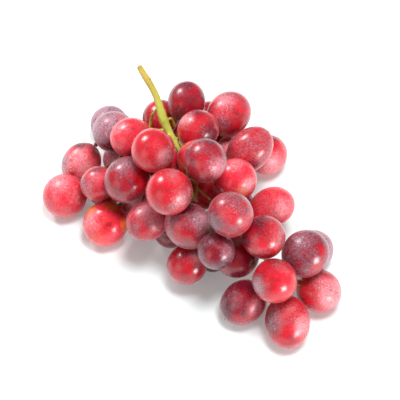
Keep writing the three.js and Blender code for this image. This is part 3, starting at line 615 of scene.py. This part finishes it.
# The tip of the bunch: six large berries that lie loosely on the table.
TIP = [
    (37, mauve_skin, 0.58, 0.43, 0.0, [
        ("bloom", -0.4, 0.3, 0.7, 0.25), ("bloom", 0.6, -0.2, 0.7, 0.7),
        ("rubbed", -0.1, 0.1, 0.5, 0.4), ("rubbed", 0.2, -0.7, 0.5, 0.4),
        ("flush", -0.8, -0.2, 0.7, 0.25), ("flush", 0.7, -0.2, 0.9, -0.5),
        ("flush", 0.0, 0.8, 0.7, 0.15), ("bloom", 0.1, 0.8, 0.6, -0.2),
        ("flush", 0.0, -0.8, 0.6, -0.15)]),
    # Berry 38: the bloom spot on its right lies where the front window's glint falls, partly its own
    # wax and partly a painted highlight.
    (38, rosy_skin, 0.28, 0.42, 0.0, [
        ("bloom", -0.6, 0.3, 1.0, 0.4), ("flush", -0.8, 0.1, 0.9, 0.55),
        ("bloom", 0.6, -0.1, 0.8, 0.65), ("flush", 0.7, -0.1, 0.6, -0.15),
        ("rubbed", 0.1, -0.7, 0.7, 0.4), ("bloom", 0.1, 0.7, 0.6, 0.25),
        ("flush", 0.1, -0.7, 0.6, 0.12)]),
    (39, rosy_skin, 0.27, 0.48, 0.0, [
        ("bloom", 0.6, -0.1, 1.1, 1.2), ("flush", 0.8, -0.1, 0.7, 0.1),
        ("rubbed", -0.7, 0.1, 0.6, 0.4), ("flush", 0.0, 0.7, 0.7, -0.2),
        ("bloom", -0.1, 0.6, 0.6, 0.35)]),
    (40, dusky_skin, 0.66, 0.58, 0.0, [
        ("flush", 0.6, 0.1, 0.6, -0.30), ("bloom", 0.6, 0.2, 0.5, -0.25),
        ("flush", 0.4, -0.6, 0.6, -0.25), ("bloom", -0.3, 0.6, 0.8, 0.2)]),
    (41, dusky_skin, 0.60, 0.90, 0.0, []),
    (42, rosy_skin, 0.18, 0.30, 0.0, [
        ("flush", -0.8, -0.2, 0.9, 0.6), ("bloom", -0.8, -0.2, 0.9, 0.65),
        ("flush", 0.0, 0.85, 0.6, 0.3), ("bloom", 0.1, 0.7, 0.6, 0.35),
        ("rubbed", 0.0, -0.1, 0.6, 0.35), ("bloom", 0.5, 0.4, 0.5, 0.25)]),
]
for row in TIP:
    grow_berry(*row)


# The berries inside and behind, which the viewer doesn't see: fourteen of the same fruit, their
# shades drawn by lot.
HIDDEN = range(43, 57)
SHADES = ((rosy_skin, 0.12), (mauve_skin, 0.42), (dusky_skin, 0.68))
LOT_SEED = 11
lot = np.random.default_rng(LOT_SEED)
for number in HIDDEN:
    skin, flush = SHADES[lot.integers(len(SHADES))]
    spots = [
        ("flush", *lot.uniform(-0.7, 0.7, 2), lot.uniform(0.7, 1.4), lot.uniform(-0.2, 0.3)),
        ("bloom", *lot.uniform(-0.7, 0.7, 2), lot.uniform(0.7, 1.4), lot.uniform(0.1, 0.5)),
        ("rubbed", *lot.uniform(-0.7, 0.7, 2), lot.uniform(0.3, 0.6), lot.uniform(0.3, 0.8)),
    ]
    grow_berry(number, skin, flush, lot.uniform(0.25, 0.55), 0.0, spots)
bpy.data.objects.remove(berry_form)


# The stem: one green, slightly woody branch. Its thick stalk, straw at the dry cut and lime below,
# bears the brown scar of a tendril, and its foot among the berries is painted paler lime, a painted
# light over the shade there. It swells at each fork, its twigs turn ochre inside the bunch, an ochre
# made paler as painted light against the shade, and very dark brown at the left, partly their own
# brown and partly painted shade, and every twig widens to a warty cap that holds a berry.
CUT_END = (-0.0236, 0.0536, 0.062)
# The foot of the stalk, where it goes in between the berries and is painted paler as painted light.
PAINTED_LIGHT_FOOT = (-0.0065, 0.0240, 0.038)
TENDRIL_SCAR = (-0.0177, 0.0473, 0.0596)
STEM_GRAIN = 0.00034
STEM_UNEVENNESS = 0.00035
BARK_LUMP = 0.0022
SOFTENING, SOFTENING_ROUNDS = 0.5, 5

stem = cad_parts["stem"].copy()
stem.data = stem.data.copy()
stem.name = stem.data.name = "grape_stem"
bpy.context.scene.collection.objects.link(stem)
edit(stem)
bpy.ops.mesh.select_all(action="SELECT")
bpy.ops.mesh.remove_doubles(threshold=1e-6)
stop_editing()
knit = stem.modifiers.new("knit", "REMESH")
knit.mode = "VOXEL"
knit.voxel_size = STEM_GRAIN
bpy.ops.object.modifier_apply(modifier=knit.name)
soften = stem.modifiers.new("soften", "SMOOTH")
soften.factor = SOFTENING
soften.iterations = SOFTENING_ROUNDS
bpy.ops.object.modifier_apply(modifier=soften.name)
bark = bpy.data.textures.new("stem_bark", "CLOUDS")
bark.noise_scale = BARK_LUMP
bark.noise_depth = 2
ridges = stem.modifiers.new("ridges", "DISPLACE")
ridges.texture = bark
ridges.texture_coords = "LOCAL"
ridges.strength = STEM_UNEVENNESS
bpy.ops.object.modifier_apply(modifier=ridges.name)
bpy.ops.object.shade_smooth()

LIME = (0.47, 0.515, 0.082, 1)
# A paler lime painted on the shaded foot of the stalk: painted light.
PAINTED_LIGHT_LIME = (0.74, 0.90, 0.18, 1)
STRAW = (0.55, 0.39, 0.070, 1)
# The twigs' own ochre, made paler than it is to lift the shade inside the bunch: partly painted light.
OCHRE_AND_LIGHT = (0.66, 0.42, 0.08, 1)
OLIVE = (0.27, 0.25, 0.04, 1)
BROWN = (0.20, 0.11, 0.035, 1)
# A very dark brown for the twig at the left, partly its own brown and partly painted shade.
TWIG_BROWN_AND_SHADE = (0.085, 0.030, 0.016, 1)
# How many clouds, fibres and warts there are to the metre, and how far the clouds stray.
STEM_CLOUDS, FIBRES, WARTS = 330, 1700, 1100
STRAY = 0.010
# Where each colour starts and is full: lime away from the cut, ochre by height, painted light near the
# foot (a paler lime over the shade there), brown and painted shade to the left, olive in the clouds,
# and brown at the dry cut and at the scar.
GREENING = (0.006, 0.027)
OCHRE_AND_LIGHT_BELOW = (0.046, 0.037)
PAINTED_LIGHT_REACH = (0.013, 0.003)
BROWN_AND_SHADE_LEFT_OF = (-0.026, -0.034)
SHADING = (0.62, 0.90)
DRYING = (0.0031, 0.0019)
SCARRING = (0.0018, 0.0006)
# How much of each colour is mixed in there.
OCHRE_AND_LIGHT_SHARE, PAINTED_LIGHT_SHARE, LEFT_SHADE_SHARE, OLIVE_SHARE = 0.75, 0.8, 0.9, 0.40
WART_SHARE, DRY_SHARE, SCAR_SHARE = 0.55, 0.30, 0.55


def away_from(tree, place, spot):
    """How far a place on the stem is from one spot."""
    return node(tree, "VectorMath", {0: place, 1: spot}, operation="DISTANCE").outputs["Value"]


green_wood = bpy.data.materials.new("green_stem")
green_wood.use_nodes = True
tree = green_wood.node_tree
shader = tree.nodes["Principled BSDF"]
place = node(tree, "TexCoord").outputs["Object"]
from_cut = away_from(tree, place, CUT_END)
cloudy = grain(tree, place, STEM_CLOUDS, detail=4, twist=0.4)
fine = grain(tree, place, FIBRES, detail=3)
wander = sums(tree, "MULTIPLY", sums(tree, "SUBTRACT", cloudy, 0.5), STRAY)
age = ease(tree, sums(tree, "ADD", from_cut, wander), *GREENING)
colour = blend(tree, age, STRAW, LIME)
axes = node(tree, "SeparateXYZ", {0: place})
# Ochre on the twigs below this height inside the bunch, partly their own colour and partly painted
# light.
twig = ease(tree, sums(tree, "ADD", axes.outputs["Z"], wander), *OCHRE_AND_LIGHT_BELOW)
colour = blend(tree, sums(tree, "MULTIPLY", twig, OCHRE_AND_LIGHT_SHARE), colour, OCHRE_AND_LIGHT)
# Painted light: the foot of the stalk lies in shade between the berries and is painted paler lime.
from_foot = away_from(tree, place, PAINTED_LIGHT_FOOT)
painted_light = ease(tree, from_foot, *PAINTED_LIGHT_REACH)
colour = blend(tree, sums(tree, "MULTIPLY", painted_light, PAINTED_LIGHT_SHARE), colour, PAINTED_LIGHT_LIME)
# Painted shade, partly the twig's own brown: the twig at the left is painted very dark.
left_twig_shade = ease(tree, sums(tree, "ADD", axes.outputs["X"], wander), *BROWN_AND_SHADE_LEFT_OF)
colour = blend(tree, sums(tree, "MULTIPLY", left_twig_shade, LEFT_SHADE_SHARE), colour, TWIG_BROWN_AND_SHADE)
shade = ease(tree, sums(tree, "ADD", cloudy, sums(tree, "MULTIPLY", fine, 0.25)), *SHADING)
colour = blend(tree, sums(tree, "MULTIPLY", shade, OLIVE_SHARE), colour, OLIVE)
warts = dots(tree, place, WARTS, size=0.20, share=0.30)
colour = blend(tree, sums(tree, "MULTIPLY", warts, WART_SHARE), colour, BROWN)
dry = ease(tree, sums(tree, "ADD", from_cut, sums(tree, "MULTIPLY", wander, 0.12)), *DRYING)
from_scar = away_from(tree, place, TENDRIL_SCAR)
scar = ease(tree, sums(tree, "ADD", from_scar, sums(tree, "MULTIPLY", wander, 0.2)), *SCARRING)
colour = blend(tree, sums(tree, "MULTIPLY", dry, DRY_SHARE), colour, BROWN)
colour = blend(tree, sums(tree, "MULTIPLY", scar, SCAR_SHARE), colour, BROWN)
tree.links.new(colour, shader.inputs["Base Color"])
rough = sums(tree, "ADD", sums(tree, "MULTIPLY", fine, 0.2), 0.42)
tree.links.new(rough, shader.inputs["Roughness"])
rise = sums(tree, "ADD", fine, sums(tree, "MULTIPLY", warts, 0.6))
relief = node(tree, "Bump", {"Height": rise, "Strength": 0.45, "Distance": 0.0003})
tree.links.new(relief.outputs["Normal"], shader.inputs["Normal"])
shader.inputs["Subsurface Weight"].default_value = 0.12
shader.inputs["Subsurface Radius"].default_value = (0.8, 1.0, 0.25)
shader.inputs["Subsurface Scale"].default_value = 0.0012
stem.data.materials.clear()
stem.data.materials.append(green_wood)
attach(stem, "root")
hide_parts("stem")


# The table: one plain white sheet that runs out past the picture's edges. It lies a hair below
# the bunch, and glows a little, as paper lit from all sides does.
TABLE_SIZE = 6
TABLE_LEVEL = -0.0002
TABLE_WHITE = (0.76, 0.84, 0.84, 1)
TABLE_GLOW = 0.18

bpy.ops.object.select_all(action="DESELECT")
bpy.ops.mesh.primitive_plane_add(size=TABLE_SIZE, location=(0, 0, TABLE_LEVEL))
table = bpy.context.object
table.name = "white_table"
white = bpy.data.materials.new("white_sheet")
white.use_nodes = True
shader = white.node_tree.nodes["Principled BSDF"]
shader.inputs["Base Color"].default_value = TABLE_WHITE
shader.inputs["Roughness"].default_value = 0.6
shader.inputs["Emission Color"].default_value = (1, 1, 1, 1)
shader.inputs["Emission Strength"].default_value = TABLE_GLOW
table.data.materials.append(white)


# The light: a bright white room, a soft light above and a little to the right, a broad white
# reflector in front on the left, and two windows, one behind on the left and one low in front on
# the right, whose glints show on the berries.
ROOM_LIGHT = 0.23

room = bpy.data.worlds.new("white_room")
room.use_nodes = True
room.node_tree.nodes["Background"].inputs["Color"].default_value = (1, 1, 1, 1)
room.node_tree.nodes["Background"].inputs["Strength"].default_value = ROOM_LIGHT
bpy.context.scene.world = room


def soft_light(name, way, distance, size, power, glint=True):
    """A square soft light that faces the bunch from one way, mirrored by the skins or not."""
    way = Vector(way).normalized()
    turn = way.to_track_quat("Z", "Y").to_euler()
    bpy.ops.object.light_add(type="AREA", location=VIEW_POINT + way * distance, rotation=turn)
    light = bpy.context.object
    light.name = light.data.name = name
    light.data.shape = "SQUARE"
    light.data.size = size
    light.data.energy = power
    light.visible_glossy = glint
    light.data.color = (1, 1, 1)


soft_light("overhead", (0.13, -0.07, 0.98), 0.9, 0.27, 7.4, glint=False)
soft_light("reflector", (-0.7, -0.6, 0.4), 0.9, 0.6, 1.4)
soft_light("window_left", (-0.55, 0.50, 0.66), 0.7, 0.16, 2.6)
soft_light("window_right", (0.68, -0.72, 0.10), 0.7, 0.20, 3.4)
bpy.context.scene.view_settings.view_transform = "Standard"
bpy.context.scene.view_settings.look = "None"
